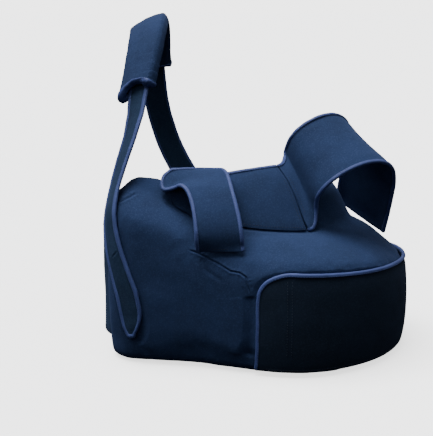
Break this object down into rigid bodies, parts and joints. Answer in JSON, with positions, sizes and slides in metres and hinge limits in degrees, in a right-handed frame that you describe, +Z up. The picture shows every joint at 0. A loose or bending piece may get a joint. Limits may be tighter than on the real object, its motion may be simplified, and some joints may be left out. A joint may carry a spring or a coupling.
{
  "type": "shoulder abduction pillow",
  "caption": "Padded foam pillow that curves round the waist to hold an arm out, with waist belt, shoulder strap with padded sleeve, wrist band and upper arm cuff.",
  "frame": {"origin": "top of the shoulder loop, on the underside of the padded sleeve, where the support hangs", "axes": "+Z up as worn, -Y to the front, +X to the side that the pillow stands out to"},
  "size_m": [0.4675, 0.372, 0.4902],
  "materials": {
    "cover": "matte",
    "loop": "matte",
    "tape": "matte"
  },
  "bodies": {
    "root": {"pillow": "cover", "waist_belt": "loop", "rim_flap": "cover", "rim_binding": "tape", "front_panel": "cover", "panel_binding": "tape", "shoulder_strap": "loop", "strap_binding": "tape", "shoulder_pad": "cover", "pad_front_binding": "tape", "pad_rear_binding": "tape", "wrist_band": "cover", "wrist_binding": "tape", "upper_arm_cuff": "cover", "cuff_upper_binding": "tape", "cuff_lower_binding": "tape"}
  },
  "joints": []
}
